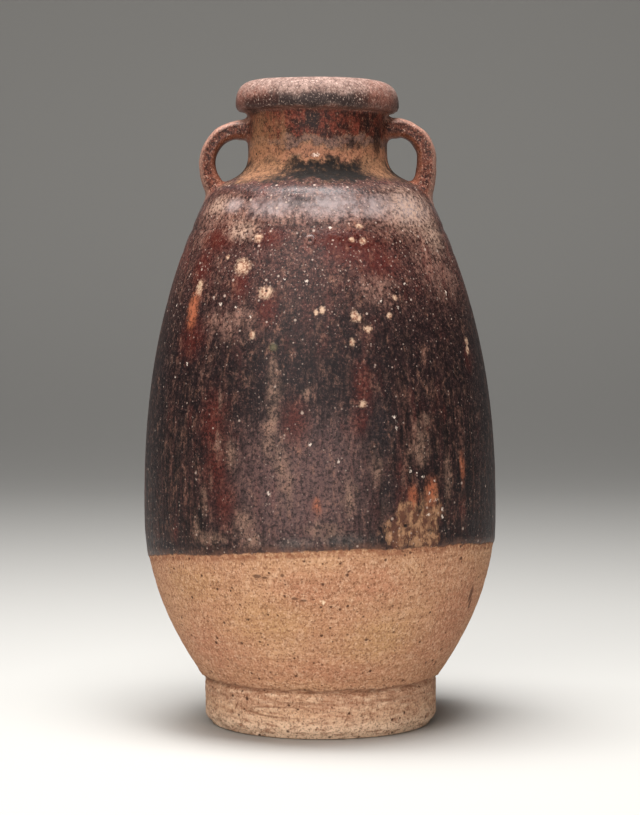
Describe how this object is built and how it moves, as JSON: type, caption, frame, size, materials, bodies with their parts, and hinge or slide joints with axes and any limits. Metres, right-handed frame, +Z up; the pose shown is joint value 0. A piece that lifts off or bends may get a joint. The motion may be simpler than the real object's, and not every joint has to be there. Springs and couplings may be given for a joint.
{
  "type": "two-eared pottery bottle",
  "caption": "Hollow egg-shaped stoneware bottle on a short foot, with a collared lip, two ear loops and a dark brown glaze that stops above bare clay.",
  "frame": {"origin": "centre of the underside, on the plane that the bottle stands on", "axes": "+Z up along the bottle's turning axis; the two ears lie along X; the pictured side faces -Y"},
  "size_m": [0.0908, 0.0908, 0.165],
  "materials": {
    "glazed_stoneware": "worn dark brown iron glaze over bare orange-buff stoneware"
  },
  "bodies": {
    "root": {"vase": "glazed_stoneware"}
  },
  "joints": []
}
